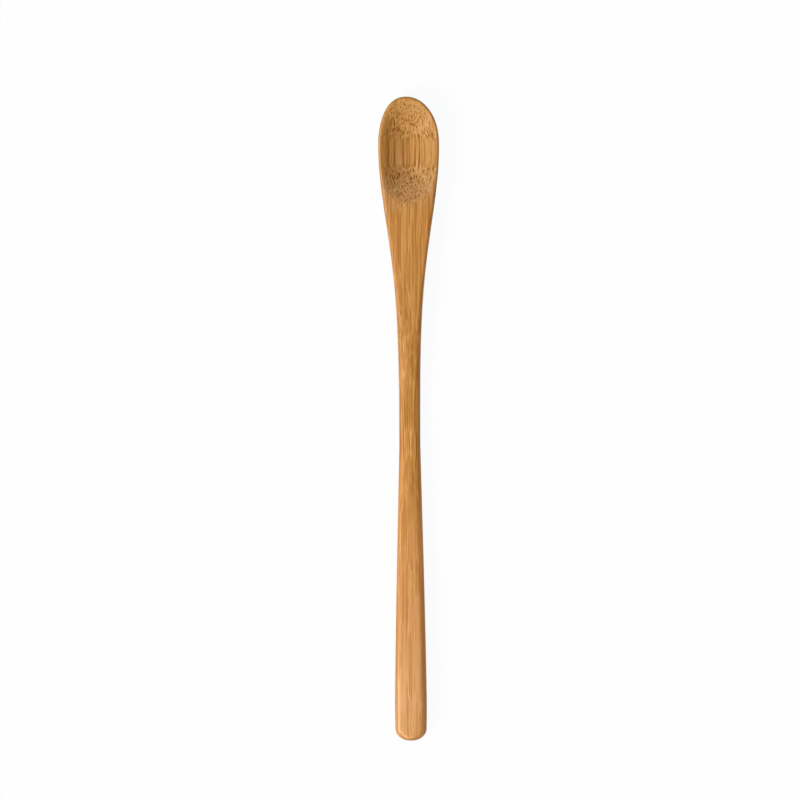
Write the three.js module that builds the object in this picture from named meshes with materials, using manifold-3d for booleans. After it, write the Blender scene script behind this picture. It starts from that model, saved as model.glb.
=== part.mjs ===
// A long-handled bamboo spoon for stirring and muddling, carved from one strip of bamboo.
// It lies on its back: the bowl opens towards +Z, the tip points to +Y, sizes are millimetres.

import * as THREE from 'three';
import { mergeVertices } from 'three/addons/utils/BufferGeometryUtils.js';
import Module from 'manifold-3d';

const manifold = await Module();
manifold.setup();

// Length of the whole spoon, and the widths that its outline passes through.
const spoonLength = 200;
const headWidth = 18.95;
const waistWidth = 6.5;
const handleWidth = 9.9;

// Places along the spoon, each a distance from the tip.
const shoulder = 15.2;
const waistEnd = 108;
const handleWidest = 188;

// How the outline curves between those widths.
const headRoundness = 2.15;
const tipLean = 0.75;
const leanLength = 12;
const neckReach = 35.2;
const neckCurve = 1.92;
const handleCurve = 1.25;
const endPinch = 0.35;
const endRoundLength = 4;
const endRoundness = 2.1;

// Heights of the front face above the table: head, waist and handle.
const headHeight = 7;
const waistHeight = 5.5;
const handleHeight = 6.6;
const frontDipStart = 60;
const frontDipEnd = 92;
const frontRiseStart = 103;
const frontRiseEnd = 165;

// The back touches the table under the bowl and under the handle, and lifts between them.
const backLift = 1.3;
const backLiftStart = 22;
const backLiftEnd = 85;
const backFallStart = 100;
const backFallEnd = 160;

// Rounding of the front edges. Each has a width, measured in from the outline, and a fall, measured
// down from the front: narrow round the bowl, steep along the neck, and a broad soft grip along the
// handle that is sanded wider and deeper on the right. The handle's end has less.
const rimEdgeWidth = 0.75;
const rimEdgeFall = 1.6;
const neckEdgeWidth = 0.95;
const neckEdgeFall = 2;
const rimFadeStart = 20;
const rimFadeEnd = 38;
const gripEdgeWidthLeft = 2;
const gripEdgeWidthRight = 2.6;
const gripEdgeFallLeft = 2.3;
const gripEdgeFallRight = 2.7;
const endEdgeWidth = 1.1;
const endEdgeFall = 1.5;
const gripStart = 52;
const gripEnd = 92;

// Towards the handle's end the rounding changes into a band with a slight crease along it, narrow on
// the left. The flat front between the bands ends in a tongue that is rounder than the outline.
const bandWidthLeft = 1.4;
const bandCurve = 1.7;
const bandStart = 145;
const bandEnd = 185;
const tongueNarrowing = 0.6;

// Rounding of the back: a deep hull under the bowl, plain rounded edges along the handle.
const hullHeight = 5.2;
const hullFlatShare = 0.15;
const hullFloorCurve = 2.2;
const hullWallCurve = 1.15;
const gripBackRadius = 2;
const hullFadeStart = 20;
const hullFadeEnd = 85;
const leastSideHeight = 0.2;

// The scooped bowl. Its floor runs level with the grain, and it shelves up all round.
const bowlDepth = 3.8;
const bowlEnd = 33.3;
const bowlFloorStart = 13.1;
const bowlFloorEnd = 20.8;
const rimLand = 0.85;
const bowlCornerCurve = 2.6;
const bowlEndCurve = 3.1;
const scoopHeadroom = 2;

// How softly the bowl's slopes leave its floor. The gouge cuts the sides rounder than the ends.
const sideSlopeSoftness = 2.5;
const tipSlopeSoftness = 0.45;
const neckSlopeSoftness = 1;

// Steps of the faceted surfaces.
const tipSteps = 18;
const sideSteps = 46;
const endSteps = 9;
const edgeArcSteps = 6;
const hullSteps = 8;
const bowlEndSteps = 18;
const bowlSlopeSteps = 10;

const quarterTurn = Math.PI / 2;
const ellipseCurve = 2;
const mergeDistance = 1e-4;

const mix = (from, to, share) => from + (to - from) * share;

function share(start, end, distance) {
  return Math.min(Math.max((distance - start) / (end - start), 0), 1);
}

function ease(start, end, distance) {
  const t = share(start, end, distance);
  return t * t * (3 - 2 * t);
}

// Half the width of the spoon from the shoulder to the handle's end.
function sideHalfWidth(distance) {
  const pastShoulder = Math.max(distance - shoulder, 0);
  const neck = Math.exp(-((pastShoulder / neckReach) ** neckCurve));
  const flare = 1 - (1 - share(waistEnd, handleWidest, distance)) ** handleCurve;
  const pinch = share(handleWidest, spoonLength, distance) ** 2;
  const width = waistWidth + (headWidth - waistWidth) * neck + (handleWidth - waistWidth) * flare;
  return (width - endPinch * pinch) / 2;
}

function frontHeight(distance) {
  const dipped = mix(headHeight, waistHeight, ease(frontDipStart, frontDipEnd, distance));
  return dipped + (handleHeight - waistHeight) * ease(frontRiseStart, frontRiseEnd, distance);
}

function backHeight(distance) {
  const lifted = ease(backLiftStart, backLiftEnd, distance);
  const fallen = ease(backFallStart, backFallEnd, distance);
  return backLift * (lifted - fallen);
}

// A point on the curve between a flat and a wall: turn goes from 0 on the flat to a quarter turn
// on the wall. The result is how far out and how far up the point lies, from 0 to 1.
function roundCorner(turn, flatCurve, wallCurve) {
  const out = Math.sin(turn) ** (2 / flatCurve);
  const up = 1 - Math.cos(turn) ** (2 / wallCurve);
  return { out, up };
}

// Stations round one side of a plan outline. Each has its point on the edge, given as x and
// distance, and its foot, the place on the middle line that its cross-section starts from.
function spoonStations() {
  const stations = [];
  for (let i = 0; i < tipSteps; i += 1) {
    const { out, up } = roundCorner((quarterTurn * i) / tipSteps, headRoundness, headRoundness);
    const distance = shoulder * up;
    stations.push({ x: (headWidth / 2) * out, distance, foot: Math.max(distance, bowlFloorStart) });
  }
  const endStart = spoonLength - endRoundLength;
  for (let i = 0; i <= sideSteps; i += 1) {
    const distance = mix(shoulder, endStart, i / sideSteps);
    stations.push({ x: sideHalfWidth(distance), distance, foot: distance });
  }
  const endHalfWidth = sideHalfWidth(endStart);
  for (let i = endSteps - 1; i >= 0; i -= 1) {
    const { out, up } = roundCorner((quarterTurn * i) / endSteps, endRoundness, endRoundness);
    stations.push({ x: endHalfWidth * out, distance: spoonLength - endRoundLength * up, foot: endStart });
  }
  return stations;
}

// The rounding of the front edge at a station of the spoon's outline: its width, fall and curve.
function frontEdge({ x, distance }) {
  const sideways = share(0, sideHalfWidth(distance), Math.abs(x));
  const corner = 4 * sideways ** 2 * (1 - sideways ** 2);
  const onBand = ease(bandStart, bandEnd, distance);
  const sideWidth = x < 0 ? mix(gripEdgeWidthLeft, bandWidthLeft, onBand) : gripEdgeWidthRight;
  const sideFall = x < 0 ? gripEdgeFallLeft : gripEdgeFallRight;
  const gripWidth = mix(endEdgeWidth, sideWidth, sideways) + tongueNarrowing * corner;
  const gripFall = mix(endEdgeFall, sideFall, sideways);
  const pastRim = ease(rimFadeStart, rimFadeEnd, distance);
  const onGrip = ease(gripStart, gripEnd, distance);
  return {
    width: mix(mix(rimEdgeWidth, neckEdgeWidth, pastRim), gripWidth, onGrip),
    fall: mix(mix(rimEdgeFall, neckEdgeFall, pastRim), gripFall, onGrip),
    curve: mix(ellipseCurve, bandCurve, onBand),
  };
}

function bowlStations() {
  const stations = [];
  const halfWidth = headWidth / 2 - rimLand;
  const upperLength = shoulder - rimLand;
  for (let i = 0; i < tipSteps; i += 1) {
    const { out, up } = roundCorner((quarterTurn * i) / tipSteps, headRoundness, headRoundness);
    const distance = rimLand + upperLength * up;
    stations.push({ x: halfWidth * out, distance, foot: Math.max(distance, bowlFloorStart) });
  }
  const lowerLength = bowlEnd - shoulder;
  for (let i = bowlEndSteps; i >= 0; i -= 1) {
    const turn = (quarterTurn * i) / bowlEndSteps;
    const out = Math.sin(turn) ** (2 / bowlCornerCurve);
    const along = Math.cos(turn) ** (2 / bowlEndCurve);
    const distance = shoulder + lowerLength * along;
    stations.push({ x: halfWidth * out, distance, foot: Math.min(distance, bowlFloorEnd) });
  }
  return stations;
}

// The tip leans a little to the left of the middle line.
function leanAt(distance) {
  return tipLean * (1 - share(0, leanLength, distance)) ** 2;
}

// A vertex from a station: reach is how far out it lies from the foot, in millimetres.
function placeOnRay(station, reach, height) {
  const along = station.distance - station.foot;
  const length = Math.hypot(station.x, along);
  const part = length > 0 ? reach / length : 0;
  const distance = station.foot + along * part;
  const x = station.x * part - leanAt(distance);
  return new THREE.Vector3(x, spoonLength / 2 - distance, height(distance));
}

function rayLength(station) {
  return Math.hypot(station.x, station.distance - station.foot);
}

// One cross-section of the spoon, from the middle of its front face, over the edge, to its back.
function spoonSection(station) {
  const reach = rayLength(station);
  const { distance } = station;
  const edge = frontEdge(station);
  const fade = ease(hullFadeStart, hullFadeEnd, distance);
  const backWidth = mix(reach * (1 - hullFlatShare), gripBackRadius, fade);
  const room = frontHeight(distance) - backHeight(distance) - edge.fall - leastSideHeight;
  const backRise = Math.min(mix(hullHeight, gripBackRadius, fade), room);
  const floorCurve = mix(hullFloorCurve, ellipseCurve, fade);
  const wallCurve = mix(hullWallCurve, ellipseCurve, fade);

  const section = [placeOnRay(station, 0, frontHeight)];
  for (let i = 0; i <= edgeArcSteps; i += 1) {
    const { out, up } = roundCorner((quarterTurn * i) / edgeArcSteps, edge.curve, edge.curve);
    const outward = reach - edge.width + edge.width * out;
    section.push(placeOnRay(station, outward, (d) => frontHeight(d) - edge.fall * up));
  }
  for (let i = hullSteps; i >= 0; i -= 1) {
    const { out, up } = roundCorner((quarterTurn * i) / hullSteps, floorCurve, wallCurve);
    const outward = reach - backWidth + backWidth * out;
    section.push(placeOnRay(station, outward, (d) => backHeight(d) + backRise * up));
  }
  section.push(placeOnRay(station, 0, backHeight));
  return section;
}

// One cross-section of the block of air that the bowl removes, from its lid down to its floor.
function scoopSection(station) {
  const reach = rayLength(station);
  const endSoftness = station.distance < station.foot ? tipSlopeSoftness : neckSlopeSoftness;
  const soft = mix(endSoftness, sideSlopeSoftness, Math.abs(station.x) / reach);
  const swept = bowlDepth * (bowlDepth + 2 * soft);
  const lid = () => headHeight + scoopHeadroom;
  const section = [placeOnRay(station, 0, lid), placeOnRay(station, reach, lid)];
  for (let i = bowlSlopeSteps; i >= 0; i -= 1) {
    const out = i / bowlSlopeSteps;
    const rise = Math.sqrt(soft ** 2 + swept * out ** 2) - soft;
    section.push(placeOnRay(station, reach * out, () => headHeight - bowlDepth + rise));
  }
  return section;
}

// Joins the sections of the right side, and their mirror images on the left, into a closed skin.
// The left sections are mirrored about the leaning middle line, so x is mirrored before the lean.
function closedSolid(stations, sectionOf) {
  const right = stations.map(sectionOf);
  const inner = stations.slice(1, -1).reverse();
  const left = inner.map((station) => sectionOf({ ...station, x: -station.x }));
  const ring = [...right, ...left];
  const positions = [];
  ring.forEach((section, i) => {
    const next = ring[(i + 1) % ring.length];
    for (let j = 0; j + 1 < section.length; j += 1) {
      const corners = [section[j], next[j], next[j + 1], section[j + 1]];
      [0, 1, 2, 0, 2, 3].forEach((corner) => positions.push(...corners[corner].toArray()));
    }
  });
  const geometry = new THREE.BufferGeometry();
  geometry.setAttribute('position', new THREE.Float32BufferAttribute(positions, 3));
  const merged = mergeVertices(geometry, mergeDistance);
  const index = merged.getIndex().array;
  const triangles = [];
  for (let i = 0; i < index.length; i += 3) {
    const [a, b, c] = [index[i], index[i + 1], index[i + 2]];
    if (a !== b && b !== c && c !== a) triangles.push(a, b, c);
  }
  return new manifold.Manifold(new manifold.Mesh({
    numProp: 3,
    vertProperties: merged.getAttribute('position').array,
    triVerts: new Uint32Array(triangles),
  }));
}

function toGeometry(solid) {
  const mesh = solid.getMesh();
  const geometry = new THREE.BufferGeometry();
  geometry.setAttribute('position', new THREE.Float32BufferAttribute(mesh.vertProperties, 3));
  geometry.setIndex(new THREE.Uint32BufferAttribute(mesh.triVerts, 1));
  geometry.computeVertexNormals();
  return geometry;
}

const bamboo = new THREE.MeshStandardMaterial({
  name: 'bamboo',
  color: 0xc68c4c,
  roughness: 0.5,
  metalness: 0,
});

function spoonBody() {
  const blank = closedSolid(spoonStations(), spoonSection);
  const scoop = closedSolid(bowlStations(), scoopSection);
  const mesh = new THREE.Mesh(toGeometry(blank.subtract(scoop)), bamboo);
  mesh.name = 'spoon_body';
  return mesh;
}

const spoon = new THREE.Group();
spoon.add(spoonBody());

export default spoon;
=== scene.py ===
# %% [markdown]
# # A bamboo spoon for stirring and muddling
# The spoon is 20 cm long and carved from one strip of browned bamboo. It has an oval bowl, a neck
# that narrows to a thin waist, and a rounded flat handle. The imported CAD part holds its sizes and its
# body. This notebook makes one fine mesh of the same shape, gives it bamboo that is solid right
# through, and sets it on a white table under a plain studio light.

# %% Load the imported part
import math

import bmesh
import bpy
from mathutils import Euler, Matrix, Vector


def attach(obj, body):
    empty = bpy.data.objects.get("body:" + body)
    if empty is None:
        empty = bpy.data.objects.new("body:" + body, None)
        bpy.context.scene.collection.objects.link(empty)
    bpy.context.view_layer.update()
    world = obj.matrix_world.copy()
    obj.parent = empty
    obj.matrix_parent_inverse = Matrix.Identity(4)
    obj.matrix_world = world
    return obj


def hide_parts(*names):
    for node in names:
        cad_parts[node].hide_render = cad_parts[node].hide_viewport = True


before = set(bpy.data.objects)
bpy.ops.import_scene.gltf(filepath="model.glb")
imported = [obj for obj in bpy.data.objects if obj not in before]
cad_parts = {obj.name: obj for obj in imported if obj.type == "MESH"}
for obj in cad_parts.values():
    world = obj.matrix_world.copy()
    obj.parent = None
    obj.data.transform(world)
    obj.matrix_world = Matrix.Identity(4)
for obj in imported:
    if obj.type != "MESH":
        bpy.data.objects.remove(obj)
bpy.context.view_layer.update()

# %% [markdown]
# ## Numbers that write nodes
# Both the shape and the grain follow formulas. A formula is hard to read as a picture of forty Math
# nodes, and easy to read as a line of Python. So this small class stands for one number inside a node
# tree: each plus or times on it adds the Math node that does it.

# %% A number inside a node tree
class Number:
    """A number inside a node tree. Arithmetic on it adds Math nodes."""

    def __init__(self, tree, socket):
        self.tree = tree
        self.socket = socket

    def math(self, operation, *values):
        node = self.tree.nodes.new("ShaderNodeMath")
        node.operation = operation
        for value, socket in zip(values, node.inputs):
            feed(self.tree, value, socket)
        return Number(self.tree, node.outputs[0])

    def __add__(self, other):
        return self.math("ADD", self, other)

    def __radd__(self, other):
        return self.math("ADD", other, self)

    def __sub__(self, other):
        return self.math("SUBTRACT", self, other)

    def __rsub__(self, other):
        return self.math("SUBTRACT", other, self)

    def __mul__(self, other):
        return self.math("MULTIPLY", self, other)

    def __rmul__(self, other):
        return self.math("MULTIPLY", other, self)

    def __truediv__(self, other):
        return self.math("DIVIDE", self, other)

    def __rtruediv__(self, other):
        return self.math("DIVIDE", other, self)

    def __pow__(self, other):
        return self.math("POWER", self, other)

    def __gt__(self, other):
        return self.math("GREATER_THAN", self, other)


def feed(tree, value, socket):
    """Gives a socket a number that nodes make, or a plain value."""
    if isinstance(value, Number):
        tree.links.new(value.socket, socket)
    else:
        socket.default_value = value

# %% The few functions that the formulas need
def least(a, b):
    return a.math("MINIMUM", a, b)


def most(a, b):
    return a.math("MAXIMUM", a, b)


def sine(turn):
    return turn.math("SINE", turn)


def cosine(turn):
    return turn.math("COSINE", turn)


def root(value):
    return value.math("SQRT", value)


def exponential(value):
    return value.math("EXPONENT", value)


def mix(start, end, part):
    return start + (end - start) * part


def ramp(start, end, value, kind="LINEAR"):
    """0 before start, 1 after end, and a straight ramp between, or another kind of ramp."""
    node = value.tree.nodes.new("ShaderNodeMapRange")
    node.interpolation_type = kind
    for name, number in (("Value", value), ("From Min", start), ("From Max", end)):
        feed(value.tree, number, node.inputs[name])
    return Number(value.tree, node.outputs["Result"])


def ease(start, end, value):
    """As ramp, but it starts and stops softly."""
    return ramp(start, end, value, "SMOOTHSTEP")


def window(spans, value):
    """0, then 1 after a soft step up, then 0 again after a soft step down."""
    up, down = spans
    return ease(*up, value) * (1 - ease(*down, value))

# %% [markdown]
# ## The sizes
# The CAD part and the mesh share these sizes. Distances along the spoon start at its tip. The back
# rests on the table under the bowl and under the handle, and the waist lifts clear of it. Most curves
# are the power of a rounding: 1 is a straight cut, 2 is a circle, and more is squarer. The neck's and the
# handle's are powers in the outline's formulas, and the hull's flat share is a share of its width.

# %% Sizes of the spoon, in millimetres
MM = 0.001
lengths = {
    "Spoon length": 200.0,
    "Head width": 18.95,
    "Waist width": 6.5,
    "Handle width": 9.9,
    "Shoulder": 15.2,
    "Neck reach": 35.2,
    "Waist end": 108.0,
    "Handle widest": 188.0,
    "End round": 4.0,
    "End pinch": 0.35,
    "Tip lean": 0.75,
    "Lean length": 12.0,
    "Head height": 7.0,
    "Waist height": 5.5,
    "Handle height": 6.6,
    "Back lift": 1.3,
    "Rim radius": 0.75,
    "Neck radius": 0.95,
    "Left grip radius": 2.0,
    "Right grip radius": 2.6,
    "End radius": 1.1,
    "Left band width": 1.4,
    "Tongue narrowing": 0.6,
    "Hull height": 5.2,
    "Back radius": 2.0,
    "Least side": 0.2,
    "Bowl depth": 3.8,
    "Bowl end": 33.3,
    "Floor start": 13.1,
    "Floor end": 20.8,
    "Rim land": 0.85,
    "Rim softness": 0.3,
    "Tip slope softness": 0.45,
    "Neck slope softness": 1.0,
    "Side slope softness": 2.5,
    "Rim fall": 1.6,
    "Neck fall": 2.0,
    "Left grip fall": 2.3,
    "Right grip fall": 2.7,
    "End fall": 1.5,
}
curves = {
    "Head roundness": 2.15,
    "Neck curve": 1.92,
    "Handle curve": 1.25,
    "End roundness": 2.1,
    "Head edge curve": 2.0,
    "Band curve": 1.7,
    "Hull floor curve": 2.2,
    "Hull wall curve": 1.15,
    "Hull flat share": 0.15,
    "Bowl corner curve": 2.6,
    "Bowl end curve": 3.1,
}
print(len(lengths), "lengths and", len(curves), "curves")

# %% Places where one shape fades into the next, in millimetres from the tip
FRONT_DIP = (60, 92)
FRONT_RISE = (103, 165)
BACK_RISE = (22, 85)
BACK_FALL = (100, 160)
RIM_FADE = (20, 38)
GRIP_FADE = (52, 92)
BAND_FADE = (145, 185)
HULL_FADE = (20, 85)
print("the front dips over", FRONT_DIP, "and rises over", FRONT_RISE)

# %% [markdown]
# ## One skin on rings of stations
# A carver works a spoon in long strokes that follow its outline, and the mesh does the same. The
# stations go round the outline from the tip, down the right side to the handle's end, and down the
# left side in the same way. At each station one row of points runs over the spoon's edge and under
# its hull, and a second row runs from the bowl's rim down to the floor. The shape follows a rule all the
# way, so Geometry Nodes make it: two flat grids are bent into place by one formula.

# %% How many stations and steps
TIP_STATIONS = 40
BOWL_STATIONS = 60
SIDE_STATIONS = 200
END_STATIONS = 24
BOWL_LAST = TIP_STATIONS + BOWL_STATIONS
SIDE_LAST = BOWL_LAST + SIDE_STATIONS
LAST = SIDE_LAST + END_STATIONS
FACE_STEPS = 9
EDGE_STEPS = 9
WALL_STEPS = 3
HULL_STEPS = 14
BACK_STEPS = 2
SCOOP_STEPS = 40
EDGE_START = FACE_STEPS
WALL_START = EDGE_START + EDGE_STEPS
HULL_START = WALL_START + WALL_STEPS
BACK_START = HULL_START + HULL_STEPS
SKIN_STEPS = BACK_START + BACK_STEPS
QUARTER = math.pi / 2
print(LAST, "stations on each side,", SKIN_STEPS, "steps over the skin and", SCOOP_STEPS, "in the bowl")

# %% Start the tree with a named input for every size
tree = bpy.data.node_groups.new("spoon surface", "GeometryNodeTree")
tree.interface.new_socket("Geometry", in_out="OUTPUT", socket_type="NodeSocketGeometry")
for name in (*lengths, *curves):
    tree.interface.new_socket(name, in_out="INPUT", socket_type="NodeSocketFloat")
group_input = tree.nodes.new("NodeGroupInput")
size = {name: Number(tree, group_input.outputs[name]) for name in (*lengths, *curves)}
print(len(size), "inputs")

# %% Which station and which step a grid point stands for
position = tree.nodes.new("GeometryNodeInputPosition")
split = tree.nodes.new("ShaderNodeSeparateXYZ")
tree.links.new(position.outputs[0], split.inputs[0])
across = Number(tree, split.outputs["X"])
along = Number(tree, split.outputs["Y"])
station_turn = across.math("ROUND", across)
station = station_turn.math("ABSOLUTE", station_turn)
side = station_turn.math("SIGN", station_turn)
print("stations below 0 are on the left side, and those above 0 on the right")

# %% Helpers: a fade along the spoon, and the curve between a flat and a wall
def fade(span, distance):
    """An ease between two places along the spoon, given in millimetres from the tip."""
    return ease(span[0] * MM, span[1] * MM, distance)


def round_corner(turn, flat_curve, wall_curve):
    """How far out and how far up a rounded corner is, from 0 to 1, as turn goes to a quarter."""
    out = sine(turn) ** (2 / flat_curve)
    up = 1 - most(cosine(turn), 0) ** (2 / wall_curve)
    return out, up

# %% [markdown]
# ## The outline and the heights
# The head is a slightly squared oval, the neck falls off like one side of a bell, and the handle
# flares slowly. The front dips from the head to the waist and climbs a little under the palm. Each of
# these is one formula of the distance from the tip, so the outline has no kinks where they meet.

# %% The outline's half width, and the heights of front and back
def half_width(distance):
    past = most(distance - size["Shoulder"], 0) / size["Neck reach"]
    bell = past.math("EXPONENT", 0 - past ** size["Neck curve"])
    flare = 1 - (1 - ramp(size["Waist end"], size["Handle widest"], distance)) ** size["Handle curve"]
    pinch = ramp(size["Handle widest"], size["Spoon length"], distance) ** 2 * size["End pinch"]
    neck = (size["Head width"] - size["Waist width"]) * bell
    handle = (size["Handle width"] - size["Waist width"]) * flare
    return (size["Waist width"] + neck + handle - pinch) / 2


def front_height(distance):
    dipped = mix(size["Head height"], size["Waist height"], fade(FRONT_DIP, distance))
    return dipped + (size["Handle height"] - size["Waist height"]) * fade(FRONT_RISE, distance)


def back_height(distance):
    return size["Back lift"] * (fade(BACK_RISE, distance) - fade(BACK_FALL, distance))


print("waist about", lengths["Waist height"] - lengths["Back lift"], "mm thick")

# %% The place of each station on the spoon's outline
EDGE_LEAD = 9.7
LEAD_CURVE = 4
tip_out, tip_up = round_corner(
    ramp(0, TIP_STATIONS, station) * QUARTER, size["Head roundness"], size["Head roundness"])
bowl_part = ramp(TIP_STATIONS, BOWL_LAST, station)
side_part = ramp(BOWL_LAST, SIDE_LAST, station)
end_out, end_up = round_corner(
    ramp(LAST, SIDE_LAST, station) * QUARTER, size["End roundness"], size["End roundness"])
bowl_turn = (1 - bowl_part) * QUARTER
rim_out = sine(bowl_turn) ** (2 / size["Bowl corner curve"])
rim_along = most(cosine(bowl_turn), 0) ** (2 / size["Bowl end curve"])
end_start = size["Spoon length"] - size["End round"]
lower_bowl = (size["Bowl end"] - size["Shoulder"]) * rim_along
lead_end = size["Bowl end"] + EDGE_LEAD * MM
straight = size["Shoulder"] * tip_up + lower_bowl + EDGE_LEAD * MM * bowl_part ** LEAD_CURVE
straight = straight + (end_start - lead_end) * side_part
edge_far = straight + size["End round"] * (1 - end_up)
edge_wide = half_width(straight) * tip_out * end_out
print("the edge runs up to", EDGE_LEAD, "mm ahead of the rim")

# %% The place of each station on the bowl's rim, and on the front's middle line past the bowl
CATCH_UP = 70
rim_wide = (size["Head width"] / 2 - size["Rim land"]) * tip_out * rim_out
rim_far = size["Rim land"] + (size["Shoulder"] - size["Rim land"]) * tip_up + lower_bowl
lag = EDGE_LEAD * MM * (1 - ramp(lead_end, CATCH_UP * MM, straight)) ** 2
past_bowl = station > BOWL_LAST
start_far = mix(rim_far, straight - lag, past_bowl)
start_wide = rim_wide * (1 - past_bowl)
print("the middle line catches up with the edge at", CATCH_UP, "mm")

# %% [markdown]
# ## The row over the edge and under the hull
# Each row runs from the rim, across the narrow land, over the rounded front edge, down the side,
# round the hull and in to the middle of the back. Seen from above, it follows the ray from the back's
# middle line to its station, so the rows fan out at both ends. A sander takes more off an edge where a
# hand holds the spoon, so the edge's width and fall change along the spoon and from side to side.

# %% The ray of each station, and how much of it each rounding takes
foot = least(most(edge_far, size["Floor start"]), end_start)
ray_far = edge_far - foot
reach = root(edge_wide * edge_wide + ray_far * ray_far)
ray_x = edge_wide / reach
ray_s = ray_far / reach
sideways = least(edge_wide / half_width(straight), 1)
on_band = fade(BAND_FADE, edge_far)
on_right = side > 0
left_width = mix(size["Left grip radius"], size["Left band width"], on_band)
side_width = mix(left_width, size["Right grip radius"], on_right)
side_fall = mix(size["Left grip fall"], size["Right grip fall"], on_right)
# The next number is 0 at the side and at the end, and 1 halfway round the handle's corner.
between = 4 * sideways * sideways * (1 - sideways * sideways)
grip = mix(size["End radius"], side_width, sideways) + size["Tongue narrowing"] * between
head_edge = mix(size["Rim radius"], size["Neck radius"], fade(RIM_FADE, edge_far))
on_grip = fade(GRIP_FADE, edge_far)
edge = mix(head_edge, grip, on_grip)
head_fall = mix(size["Rim fall"], size["Neck fall"], fade(RIM_FADE, edge_far))
fall = mix(head_fall, mix(size["End fall"], side_fall, sideways), on_grip)
edge_curve = mix(size["Head edge curve"], size["Band curve"], on_band)
hull = fade(HULL_FADE, edge_far)
back_wide = mix(reach * (1 - size["Hull flat share"]), size["Back radius"], hull)
room = front_height(edge_far) - back_height(edge_far) - fall - size["Least side"]
back_rise = least(mix(size["Hull height"], size["Back radius"], hull), room)
print("edge", lengths["Left grip radius"], "mm wide on the left,", lengths["Right grip radius"], "right")

# %% The skin's points
FACE_CROWDING = 1.6
CIRCLE = 2
step = along + SKIN_STEPS / 2
face_part = ramp(0, EDGE_START, step) ** FACE_CROWDING
edge_out, edge_up = round_corner(
    ramp(EDGE_START, WALL_START, step) * QUARTER, edge_curve, edge_curve)
wall_part = ramp(WALL_START, HULL_START, step)
hull_out, hull_up = round_corner(
    ramp(BACK_START, HULL_START, step) * QUARTER,
    mix(size["Hull floor curve"], CIRCLE, hull), mix(size["Hull wall curve"], CIRCLE, hull))
back_part = ramp(BACK_START, SKIN_STEPS, step)
inward = edge * (1 - edge_out) + back_wide * (1 - hull_out) + (reach - back_wide) * back_part
past_face = step > EDGE_START
face_wide = mix(start_wide, edge_wide - ray_x * edge, face_part)
face_far = mix(start_far, edge_far - ray_s * edge, face_part)
skin_wide = face_wide * (1 - past_face) + (edge_wide - ray_x * inward) * past_face
skin_far = face_far * (1 - past_face) + (edge_far - ray_s * inward) * past_face
print(len(tree.nodes), "nodes so far")

# %% [markdown]
# ## The bowl
# A bowl like this is cut with a round gouge, so every cut from the rim to the middle is an arc that
# lands level on the floor. The gouge leaves a sharp rim, and sandpaper takes the sharpness off. Both
# sides of the rim are lowered by the same soft step, so they meet without a crease.

# %% The arc from rim to floor, and the sanded rim
bowl_foot = least(most(rim_far, size["Floor start"]), size["Floor end"])
bowl_run = rim_far - bowl_foot
bowl_reach = root(rim_wide * rim_wide + bowl_run * bowl_run)
depth = size["Bowl depth"]
neck_half = station > TIP_STATIONS
end_soft = mix(size["Tip slope softness"], size["Neck slope softness"], neck_half)
soft = mix(end_soft, size["Side slope softness"], rim_wide / bowl_reach)
swept = depth * (depth + 2 * soft)
rim_slope = swept / ((depth + soft) * bowl_reach)
print("bowl", lengths["Bowl depth"], "mm deep")


def sanded(drop):
    """Turns a drop that starts with a sharp corner at 0 into one with a sanded corner."""
    return (drop + root(drop * drop + size["Rim softness"] ** 2)) / 2

# %% The heights of the skin
CROWN = 0.06
WAIST_CROWN = 0.14
WAIST_RUBBED_FROM, WAIST_RUBBED_TO = (64, 88), (112, 140)
run_wide = start_wide - edge_wide + ray_x * edge
run_far = start_far - edge_far + ray_s * edge
face_run = root(run_wide ** 2 + run_far ** 2)
past_rim = face_run * face_part + edge * edge_out + past_bowl * (start_far - size["Bowl end"])
rim_drop = sanded(0 - rim_slope * past_rim) * (1 - edge_up)
rubbed = fade(WAIST_RUBBED_FROM, edge_far) * (1 - fade(WAIST_RUBBED_TO, edge_far))
crown_drop = (CROWN * on_grip + WAIST_CROWN * rubbed) * face_run * face_part ** 2
skin_top = front_height(skin_far) - fall * edge_up - rim_drop - crown_drop
skin_bottom = back_height(skin_far) + back_rise * hull_up
skin_high = mix(skin_top, skin_bottom, wall_part)
print("crown up to", round(CROWN + WAIST_CROWN, 2), "of the front's half width")

# %% The points of the scoop
RIM_CROWDING = 1.6
scoop_part = 1 - ((along + SCOOP_STEPS / 2) / SCOOP_STEPS) ** RIM_CROWDING
scoop_wide = rim_wide * scoop_part
scoop_far = bowl_foot + bowl_run * scoop_part
scoop_rise = root(soft * soft + swept * scoop_part * scoop_part) - soft
scoop_high = size["Head height"] - sanded(depth - scoop_rise)
print(len(tree.nodes), "nodes so far")

# %% [markdown]
# ## From grids to one closed mesh
# Each grid is bent by a Set Position node. The two then share their points along the rim, and each
# meets itself along the middle line, so Merge by Distance closes them into one skin. The scoop's grid
# would face into the wood, so its faces are flipped first.

# %% Bend the two grids into place
def bent_grid(stations, steps, wide, far, high):
    """A flat grid of stations and steps whose points are set to their places on the spoon."""
    grid = tree.nodes.new("GeometryNodeMeshGrid")
    grid.inputs["Size X"].default_value = 2 * stations
    grid.inputs["Size Y"].default_value = steps
    grid.inputs["Vertices X"].default_value = 2 * stations + 1
    grid.inputs["Vertices Y"].default_value = steps + 1
    lean = size["Tip lean"] * (1 - ramp(0, size["Lean length"], far)) ** 2
    place = tree.nodes.new("ShaderNodeCombineXYZ")
    feed(tree, side * wide - lean, place.inputs["X"])
    feed(tree, size["Spoon length"] / 2 - far, place.inputs["Y"])
    feed(tree, high, place.inputs["Z"])
    moved = tree.nodes.new("GeometryNodeSetPosition")
    tree.links.new(grid.outputs["Mesh"], moved.inputs["Geometry"])
    tree.links.new(place.outputs[0], moved.inputs["Position"])
    return moved.outputs["Geometry"]


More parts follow.
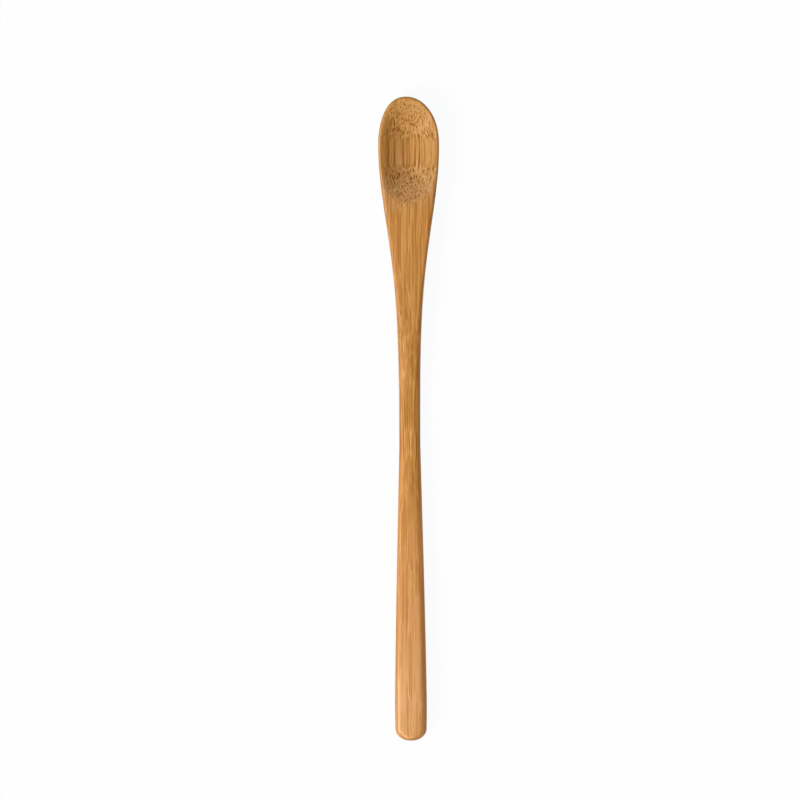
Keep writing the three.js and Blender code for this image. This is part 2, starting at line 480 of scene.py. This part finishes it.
skin = bent_grid(LAST, SKIN_STEPS, skin_wide, skin_far, skin_high)
scoop = bent_grid(BOWL_LAST, SCOOP_STEPS, scoop_wide, scoop_far, scoop_high)

# %% Join, close, smooth and give the material
MERGE_WITHIN = 0.001
bamboo = bpy.data.materials.new("bamboo")
joined = tree.nodes.new("GeometryNodeJoinGeometry")
flipped = tree.nodes.new("GeometryNodeFlipFaces")
tree.links.new(scoop, flipped.inputs["Mesh"])
tree.links.new(flipped.outputs["Mesh"], joined.inputs["Geometry"])
tree.links.new(skin, joined.inputs["Geometry"])
closed = tree.nodes.new("GeometryNodeMergeByDistance")
closed.inputs["Distance"].default_value = MERGE_WITHIN * MM
smooth = tree.nodes.new("GeometryNodeSetShadeSmooth")
realized = tree.nodes.new("GeometryNodeRealizeInstances")
finish = tree.nodes.new("GeometryNodeSetMaterial")
finish.inputs["Material"].default_value = bamboo
group_output = tree.nodes.new("NodeGroupOutput")
chain = [joined, closed, smooth, realized, finish, group_output]
for first, second in zip(chain, chain[1:]):
    tree.links.new(first.outputs[0], second.inputs[0])
print(len(tree.nodes), "nodes in the tree")

# %% Run the tree with the spoon's sizes and keep the result as a plain mesh
maker = bpy.data.objects.new("maker", bpy.data.meshes.new("maker"))
bpy.context.scene.collection.objects.link(maker)
modifier = maker.modifiers.new("spoon surface", "NODES")
modifier.node_group = tree
values = {**{name: length * MM for name, length in lengths.items()}, **curves}
for item in tree.interface.items_tree:
    if item.in_out == "INPUT":
        modifier[item.identifier] = values[item.name]
bpy.context.view_layer.update()
shape = maker.evaluated_get(bpy.context.evaluated_depsgraph_get())
spoon = bpy.data.objects.new("spoon", bpy.data.meshes.new_from_object(shape))
bpy.data.objects.remove(maker)
bpy.context.scene.collection.objects.link(spoon)
spoon.data.name = "spoon"
print("spoon is", [round(length / MM, 2) for length in spoon.dimensions], "mm")

# %% Measure the mesh: it has to be closed and point outwards
CUBIC_CM = 1e-6
skin_mesh = bmesh.new()
skin_mesh.from_mesh(spoon.data)
open_edges = sum(1 for line in skin_mesh.edges if len(line.link_faces) != 2)
triangles = sum(len(face.verts) - 2 for face in skin_mesh.faces)
volume = skin_mesh.calc_volume(signed=True)
skin_mesh.free()
print(len(spoon.data.vertices), "points,", triangles, "triangles,", open_edges, "open edges")
print("volume", round(volume / CUBIC_CM, 3), "cm3, outwards where above 0")

# %% [markdown]
# ## Bamboo that is solid right through
# A culm's wall is soft pale tissue with dark bundles of fibre that run along it. They are fine and
# dense near the culm's skin, and coarse and sparse near its hollow. A cut along them shows long
# streaks, and a cut across them shows dots. A picture on the surface would have to fake that. Here each
# bundle is a cell of a flat Voronoi pattern in the spoon's cross-section, drawn out along its length, so
# the streaks on the floor of the bowl turn into ovals and dots on its slopes by themselves.

# %% The wood's own tree, and the place of a point in millimetres
bamboo.use_nodes = True
wood = bamboo.node_tree
wood.nodes.clear()
coordinates = wood.nodes.new("ShaderNodeTexCoord")
split = wood.nodes.new("ShaderNodeSeparateXYZ")
wood.links.new(coordinates.outputs["Object"], split.inputs[0])
x, y, z = (Number(wood, socket) / MM for socket in split.outputs)
from_tip = lengths["Spoon length"] / 2 - y
front_falls = lengths["Head height"] - lengths["Waist height"]
front_climbs = lengths["Handle height"] - lengths["Waist height"]
below_front = lengths["Head height"] - z
below_front = below_front - front_falls * ease(*FRONT_DIP, from_tip)
below_front = below_front + front_climbs * ease(*FRONT_RISE, from_tip)
print("the front falls", round(front_falls, 2), "mm and climbs", round(front_climbs, 2), "mm")

# %% [markdown]
# ## Noise with names
# Nothing in wood repeats, so noise varies every part of the grain. The blots of Blender's noise are as
# wide as they are long. Dividing each coordinate by a size of its own stretches them along the fibres.
# All the sizes stand in one table, so each kind of blot has a name and can be changed in one place.

# %% Each kind of blot: its size in millimetres across, along and in depth, its strength, its detail
BLOTS = {
    "side drift": (5, 26, 5, 0.8, 1),
    "depth drift": (6, 22, 7, 0.8, 1),
    "side tangle": (1.6, 6, 1.6, 0.13, 1),
    "depth tangle": (1.4, 5, 1.4, 0.13, 1),
    "uneven ends": (0.8, 30, 0.8, 1.6, 1),
    "uneven bundles": (3, 9, 3, 0.5, 1),
    "weak and strong dots": (0.5, 2.4, 0.5, 1, 1),
    "wide bands": (5, 34, 5, 0.1, 1),
    "long fibres": (0.62, 38, 0.62, 0.24, 1),
    "fine fibres": (0.32, 20, 0.32, 0.26, 2),
    "hairs": (0.16, 4, 0.16, 0.14, 1),
    "node flecks": (0.4, 7, 0.8, 1, 1),
    "node fibres": (0.4, 9, 0.6, 0.2, 1),
    "cut fibres": (0.34, 3, 0.34, 0.24, 1),
    "slope blots": (1.1, 3.2, 1.1, 1, 1),
    "broad hues": (1.1, 30, 1.1, 0.5, 1),
    "fine hues": (0.4, 9, 0.4, 0.9, 1),
    "rough spots": (0.3, 6, 0.3, 0.04, 1),
    "pores": (0.2, 5, 0.2, 0.15, 1),
}
print(len(BLOTS), "kinds of blots")

# %% Helpers: a place with two or three coordinates, and noise by name
def vector(a, b, c=0.0):
    node = wood.nodes.new("ShaderNodeCombineXYZ")
    for value, socket in zip((a, b, c), node.inputs):
        feed(wood, value, socket)
    return node.outputs[0]


def noise(name):
    """Noise from minus its strength to plus its strength, with the blots of that name."""
    blot_across, blot_along, blot_deep, blot_strength, detail = BLOTS[name]
    node = wood.nodes.new("ShaderNodeTexNoise")
    place = vector(x / blot_across, y / blot_along, z / blot_deep)
    wood.links.new(place, node.inputs["Vector"])
    node.inputs["Scale"].default_value = 1
    node.inputs["Detail"].default_value = detail
    return (Number(wood, node.outputs["Fac"]) * 2 - 1) * blot_strength

# %% [markdown]
# ## How the bundles wander
# Bundles don't run dead straight. They drift a little sideways and in depth, and they tangle where the
# culm had a growth node, which lies across this spoon's neck. Under the floor of the bowl they arch up by
# about half a millimetre. The slopes then cut them at a steeper angle, so the streaks on the floor are
# as short as in the photograph, and each ends at a place of its own. Bending the place where the
# pattern is read does all of this.

# %% The bent place in the cross-section
GROWTH_NODE = ((60, 68), (82, 90))
ARCH_SPAN = ((9.5, 14), (20.5, 25))
ARCH = 0.6
knot = window(GROWTH_NODE, from_tip)
grain_x = x + noise("side drift") + noise("side tangle") * knot
grain_z = z + noise("depth drift") + noise("depth tangle") * knot
grain_z = grain_z - ARCH * window(ARCH_SPAN, from_tip + noise("uneven ends"))
print("growth node from", GROWTH_NODE[0][0], "to", GROWTH_NODE[1][1], "mm, arch", ARCH, "mm high")

# %% [markdown]
# ## Two families of bundles
# Cut across, a bundle is a dark oval that lies flat in the wall, inside a thin pale ring. Each Voronoi
# cell gives one bundle its place, and the cell's random colour gives it a size and a darkness. The wall
# has coarse bundles at the depth of the bowl's floor and fine ones up at the front, so there are two
# families, and one gives way to the other between two heights.

# %% One family of bundles
JITTER = 0.8
LEAST_SIZE, SIZE_SPREAD = 0.75, 0.5
LEAST_DARK, DARK_SPREAD = 0.35, 0.65
CORE_EDGE = (0.6, 1.15)
RING = ((1.0, 1.3), (1.4, 2.0))


def bundles(cell_x, cell_z, half_x, half_z, seed):
    """How deep in a bundle a point lies, and how near its pale ring, each from 0 to 1."""
    node = wood.nodes.new("ShaderNodeTexVoronoi")
    node.voronoi_dimensions = "2D"
    node.inputs["Scale"].default_value = 1
    node.inputs["Randomness"].default_value = JITTER
    place_x, place_z = grain_x / cell_x + seed, grain_z / cell_z + seed
    wood.links.new(vector(place_x, place_z), node.inputs["Vector"])
    centre = wood.nodes.new("ShaderNodeSeparateXYZ")
    chance = wood.nodes.new("ShaderNodeSeparateColor")
    wood.links.new(node.outputs["Position"], centre.inputs[0])
    wood.links.new(node.outputs["Color"], chance.inputs[0])
    big, dark = (Number(wood, chance.outputs[channel]) for channel in ("Red", "Green"))
    off_x = (place_x - Number(wood, centre.outputs["X"])) * cell_x / half_x
    off_z = (place_z - Number(wood, centre.outputs["Y"])) * cell_z / half_z
    away = root(off_x * off_x + off_z * off_z) / (LEAST_SIZE + SIZE_SPREAD * big)
    return (1 - ease(*CORE_EDGE, away)) * (LEAST_DARK + DARK_SPREAD * dark), window(RING, away)

# %% Coarse bundles deep in the wall, fine ones near its skin
SKIN_SIDE = (4.1, 4.8)
coarse, coarse_ring = bundles(cell_x=1.15, cell_z=0.62, half_x=0.36, half_z=0.225, seed=13.0)
fine, fine_ring = bundles(cell_x=0.78, cell_z=0.36, half_x=0.26, half_z=0.13, seed=71.0)
near_skin = ease(*SKIN_SIDE, z)
core = mix(coarse, fine, near_skin)
ring = mix(coarse_ring, fine_ring, near_skin)
print("coarse bundles below", SKIN_SIDE[0], "mm, fine ones above", SKIN_SIDE[1], "mm")

# %% [markdown]
# ## Where the bundles show
# A cut into the wall, as the gouge makes it in the bowl, lays the bundles bare, and they show strongly.
# On the sanded front they are fainter: least on the handle and most at the waist. On the slopes of the
# bowl some dots are much darker than others. So the bundles get a strength, which depends on how far a
# point lies below the front and how far along the spoon it is.

# %% Cuts into the wall, the slopes of the bowl, and the handle's end
CUT_DEPTH = (0.05, 0.7)
CUT_END = (34, 44)
TIP_SLOPE = ((5, 8), (12, 15))
NECK_SLOPE = ((19, 22), (26, 29))
END_FACE = (198.9, 199.5)
cut_in = ease(*CUT_DEPTH, below_front) * (1 - ease(*CUT_END, from_tip))
slanted = window(TIP_SLOPE, from_tip) + window(NECK_SLOPE, from_tip)
end_cut = ease(*END_FACE, from_tip)
print("slopes at", TIP_SLOPE, "and", NECK_SLOPE)

# %% The strength of the bundles
HEAD_STRENGTH = 0.5
STRENGTH_CHANGES = [("node", (62, 72), 0.1), ("waist", (84, 94), 0.4), ("grip", (100, 122), -0.65)]
NODE_HIDES = 0.5
CUT_STRENGTH = 0.8
MEAN_STRENGTH = 0.9
DOT_EDGE = 0.25
LEAST_DOT, DOT_SPREAD = 0.72, 0.75
on_front = HEAD_STRENGTH
for place, span, change in STRENGTH_CHANGES:
    on_front = on_front + change * ease(*span, from_tip)
strength = mix(on_front * (1 - NODE_HIDES * knot), CUT_STRENGTH, cut_in)
strength = strength * (MEAN_STRENGTH + noise("uneven bundles"))
dots = LEAST_DOT + DOT_SPREAD * ease(-DOT_EDGE, DOT_EDGE, noise("weak and strong dots"))
strength = strength * mix(1.0, dots, slanted * cut_in)
print(len(STRENGTH_CHANGES), "changes of strength along the front")

# %% [markdown]
# ## The colour of the ground between the bundles
# Steaming turns bamboo brown, and a colour ramp along the spoon holds its tone from tip to end. The
# ramp's paler grip and end are painted sheen, the pale gloss that the handle's end catches, and its
# greyer stop at the bowl's end is painted sheen on the bowl's lower slope. Its colours are written as
# they look on a screen, because a reader can judge them so, and a helper turns them into what a shader
# wants.

# %% The tone along the spoon: a place in millimetres from the tip, and its colour
def screen(red, green, blue):
    """Turns a colour as it looks on a screen, from 0 to 255, into a shader's, by the sRGB curve."""
    levels = [level / 255 for level in (red, green, blue)]
    return [v / 12.92 if v <= 0.04045 else ((v + 0.055) / 1.055) ** 2.4 for v in levels] + [1.0]


TONES_AND_SHEEN = [
    ("tip", 8, screen(189, 140, 80)),
    ("bowl", 19, screen(189, 139, 79)),
    # The bowl's end is greyer: painted sheen on the bowl's lower slope.
    ("bowl's end", 28, screen(189, 144, 96)),
    ("neck", 38, screen(190, 136, 75)),
    ("node", 75, screen(192, 140, 80)),
    ("waist", 100, screen(188, 134, 65)),
    # The grip and the end are paler: painted sheen on the handle's end.
    ("grip", 150, screen(204, 148, 93)),
    ("end", 190, screen(214, 162, 112)),
]
tone = wood.nodes.new("ShaderNodeValToRGB")
feed(wood, from_tip / lengths["Spoon length"], tone.inputs["Fac"])
stops = tone.color_ramp.elements
while len(stops) < len(TONES_AND_SHEEN):
    stops.new(1.0)
for stop, (place, distance, tone_there) in zip(stops, TONES_AND_SHEEN):
    stop.position = distance / lengths["Spoon length"]
    stop.color = tone_there
print(len(stops), "tones")

# %% [markdown]
# ## Pigment instead of mixed colours
# The brown of bamboo is a pigment, as in tea. Where there is more of it, the wood doesn't just turn
# darker: the pigment takes far more blue than red, so it turns more orange too. Mixing in one fixed
# brown would miss that and look grey. So the next cells only add up how much pigment lies at a point,
# and at the end each channel fades by the law for tinted glass: e to the power of minus the pigment.

# %% Pigment in the bundles and the fibres
BUNDLE_PIGMENT, RING_PALER, FIBRE_PALER = 0.7, 0.2, 0.7
WAIST = ((84, 94), (106, 124))
WAIST_FIBRES = 1.5
FLECK_EDGE = (0.04, 0.42)
FLECK_PALER, NODE_DARKER = 0.42, 0.14
fibres = noise("long fibres") + noise("fine fibres") + noise("hairs")
fibres = fibres * (1 + WAIST_FIBRES * window(WAIST, from_tip)) + noise("wide bands")
node_flecks = ease(*FLECK_EDGE, noise("node flecks")) * FLECK_PALER - NODE_DARKER
fibres = fibres + (node_flecks + noise("node fibres")) * knot + noise("cut fibres") * cut_in
bundle_pigment = (BUNDLE_PIGMENT * core - RING_PALER * ring) * strength
print("a bundle's core holds", BUNDLE_PIGMENT, "of pigment")

# %% [markdown]
# ## Painted shade on the flanks, a painted highlight on the edge, and blots
# The handle's rounded flanks get more pigment than its sanded front, as painted shade, and the edge
# between them gets less, as a painted highlight along the crease. Darker blots lie on the slopes of the
# bowl. All three are more or less pigment, in a range of depths below the front.

# %% Pigment for the painted shade on the flanks, the painted highlight on the edge, the blots, and the whole of it
FLANK_DEPTH, FLANK_START, PAINTED_FLANK_SHADE = (0.2, 1.1), (125, 175), 0.19
HIGHLIGHT_DEPTH, HIGHLIGHT_START, PAINTED_HIGHLIGHT_PALER = ((0.2, 0.27), (0.36, 0.5)), (140, 180), 0.08
BLOT_EDGE, BLOT_DARKER = (0.05, 0.4), 0.24
# Painted shade: the handle's flanks below the front are made browner to stand for the shade on its sides.
flank = ease(*FLANK_DEPTH, below_front) * ease(*FLANK_START, from_tip)
# Painted highlight: a thin band just below the front is made paler to stand for the gloss on the crease.
painted_highlight_edge = window(HIGHLIGHT_DEPTH, below_front) * ease(*HIGHLIGHT_START, from_tip)
blots = ease(*BLOT_EDGE, noise("slope blots")) * slanted * cut_in
pigment = bundle_pigment - FIBRE_PALER * fibres
pigment = pigment + PAINTED_FLANK_SHADE * flank - PAINTED_HIGHLIGHT_PALER * painted_highlight_edge + BLOT_DARKER * blots
print(len(wood.nodes), "nodes so far")

# %% What the pigment leaves of red, green and blue
PIGMENT_TAKES = (1.0, 1.5, 2.85)
HUE_TAKES = (0.05, -0.1, 0.18)
CUT_DARKER, END_DARKER = 0.08, 0.22
hue = noise("broad hues") + noise("fine hues")
ground = 1 - CUT_DARKER * cut_in - END_DARKER * end_cut
base = wood.nodes.new("ShaderNodeSeparateColor")
wood.links.new(tone.outputs["Color"], base.inputs[0])
colour = wood.nodes.new("ShaderNodeCombineColor")
for level, takes, hue_takes, socket in zip(base.outputs, PIGMENT_TAKES, HUE_TAKES, colour.inputs):
    left = exponential(0 - takes * pigment - hue_takes * hue)
    feed(wood, Number(wood, level) * ground * left, socket)
print("pigment takes red, green and blue as", PIGMENT_TAKES)

# %% [markdown]
# ## The finish
# The spoon is sanded smooth and has a satin sheen, with no lacquer on top. So there is one shader with a
# weak gloss. The gouge's cuts are more matt than the front, and the bundles are open pores, which are
# rougher than the wood round them and sink a few hundredths of a millimetre.

# %% Satin wood with pores
IOR = 1.45
GLOSS = 0.22
FRONT_ROUGH, CUT_ROUGHER, PORE_ROUGHER = 0.42, 0.2, 0.1
PORE_DEPTH = 0.06
BUMP_STRENGTH = 0.5
pores = core * strength
shader = wood.nodes.new("ShaderNodeBsdfPrincipled")
shader.inputs["IOR"].default_value = IOR
shader.inputs["Specular IOR Level"].default_value = GLOSS
wood.links.new(colour.outputs[0], shader.inputs["Base Color"])
rough = FRONT_ROUGH + CUT_ROUGHER * cut_in + PORE_ROUGHER * pores + noise("rough spots")
feed(wood, rough, shader.inputs["Roughness"])
bump = wood.nodes.new("ShaderNodeBump")
bump.inputs["Strength"].default_value = BUMP_STRENGTH
bump.inputs["Distance"].default_value = PORE_DEPTH * MM
feed(wood, noise("pores") - pores, bump.inputs["Height"])
wood.links.new(bump.outputs[0], shader.inputs["Normal"])
output = wood.nodes.new("ShaderNodeOutputMaterial")
wood.links.new(shader.outputs[0], output.inputs["Surface"])
print(len(wood.nodes), "nodes in the bamboo")

# %% The spoon stands for the CAD body
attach(spoon, "root")
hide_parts("spoon_body")
print(spoon.name, "rides the root and replaces spoon_body")

# %% [markdown]
# ## The table
# The ground of the photograph is white, with a faint shadow beside the spoon. Paper under one lamp would
# come out grey and uneven, so the camera sees mostly an even glow of the table, and a small share of
# matt paper that keeps the shadow. A lamp's light meets the paper alone. The paper is warm, because on
# the spoon's flanks it stands in for the light that the neighbouring spoons throw back.

# %% A white table just under the spoon
TABLE_HALF = 1.5
TABLE_TOP = -0.02
PAPER = (0.8, 0.71, 0.56, 1)
GLOW = (0.985, 0.997, 1.013, 1)
GLOW_STRENGTH = 1.02
GLOW_SHARE = 0.93


def white_where_seen(tree, seen, otherwise):
    """A number for what the camera or a reflection sees, and another for what a lamp's light meets."""
    path = tree.nodes.new("ShaderNodeLightPath")
    rays = [Number(tree, path.outputs[name]) for name in
            ("Is Camera Ray", "Is Glossy Ray", "Is Transmission Ray")]
    return mix(otherwise, seen, most(most(rays[0], rays[1]), rays[2]))


table_mesh = bpy.data.meshes.new("table")
corners = [(a * TABLE_HALF, b * TABLE_HALF) for a, b in ((-1, -1), (1, -1), (1, 1), (-1, 1))]
table_mesh.from_pydata([(a, b, TABLE_TOP * MM) for a, b in corners], [], [(0, 1, 2, 3)])
table = bpy.data.objects.new("table", table_mesh)
bpy.context.scene.collection.objects.link(table)
paper = bpy.data.materials.new("white table")
paper.use_nodes = True
paper.node_tree.nodes.clear()
matt = paper.node_tree.nodes.new("ShaderNodeBsdfDiffuse")
matt.inputs["Color"].default_value = PAPER
glow = paper.node_tree.nodes.new("ShaderNodeEmission")
glow.inputs["Color"].default_value = GLOW
glow.inputs["Strength"].default_value = GLOW_STRENGTH
both = paper.node_tree.nodes.new("ShaderNodeMixShader")
feed(paper.node_tree, white_where_seen(paper.node_tree, GLOW_SHARE, 0.0), both.inputs[0])
paper.node_tree.links.new(matt.outputs[0], both.inputs[1])
paper.node_tree.links.new(glow.outputs[0], both.inputs[2])
paper_output = paper.node_tree.nodes.new("ShaderNodeOutputMaterial")
paper.node_tree.links.new(both.outputs[0], paper_output.inputs["Surface"])
table.data.materials.append(paper)
print("table of", 2 * TABLE_HALF, "m, its top at", TABLE_TOP, "mm")

# %% [markdown]
# ## The light
# The photograph was taken under one broad soft light from the lower left. A wide sun gives that light
# evenly from tip to handle, and a weak white card opposite keeps the tip from going dark. The world
# fills the shadows with the warm light that the neighbouring spoons throw back, and is white where the
# camera sees it. The left edges of the spoon are pale in the photograph, as gloss is beside a bright
# wall. That wall is a third lamp, which shows in the gloss alone and leaves the wood's colour as it is.

# %% The world: a warm fill, white where it is seen
FILL = (0.36, 0.28, 0.13)
world = bpy.data.worlds.new("studio")
bpy.context.scene.world = world
world.use_nodes = True
sky = world.node_tree.nodes["Background"]
fill = world.node_tree.nodes.new("ShaderNodeCombineColor")
for level, socket in zip(FILL, fill.inputs):
    feed(world.node_tree, white_where_seen(world.node_tree, 1.0, level), socket)
world.node_tree.links.new(fill.outputs[0], sky.inputs["Color"])
print("fill", FILL)

# %% The lamps: name, energy, width in degrees, where it stands, and whether it lights the matt wood
LAMPS = [
    ("soft window", 2.93, 28, (-0.6, -0.42, 0.58), True),
    ("white card", 0.45, 50, (0.12, 0.62, 0.77), True),
    ("bright wall", 2.2, 60, (-0.98, -0.15, 0.05), False),
]
for name, energy, width, stands, lights_matt in LAMPS:
    lamp = bpy.data.lights.new(name, "SUN")
    lamp.energy = energy
    lamp.angle = math.radians(width)
    lamp_object = bpy.data.objects.new(name, lamp)
    lamp_object.rotation_euler = Vector(stands).to_track_quat("Z", "Y").to_euler()
    lamp_object.visible_diffuse = lights_matt
    bpy.context.scene.collection.objects.link(lamp_object)
print(len(LAMPS), "lamps")

# %% [markdown]
# ## The camera
# The photograph looks straight down from so far off that the spoon's two ends look alike, so the camera
# has no perspective. Its frame is as wide as the photograph at the spoon's scale. It is shifted and
# turned a little, because the middle spoon lies a little off the centre and a little aslant.

# %% The camera, straight above
FRAME_WIDTH = 248.4
FRAME_CENTRE = (-3.0, 5.8)
CAMERA_ROLL = math.radians(-0.24)
CAMERA_HEIGHT = 800
lens = bpy.data.cameras.new("camera")
lens.type = "ORTHO"
lens.ortho_scale = FRAME_WIDTH * MM
camera = bpy.data.objects.new("camera", lens)
camera.location = [value * MM for value in (*FRAME_CENTRE, CAMERA_HEIGHT)]
camera.rotation_euler = Euler((0, 0, CAMERA_ROLL))
bpy.context.scene.collection.objects.link(camera)
bpy.context.scene.camera = camera
bpy.context.scene.view_settings.view_transform = "Standard"
print("the frame is", FRAME_WIDTH, "mm wide")
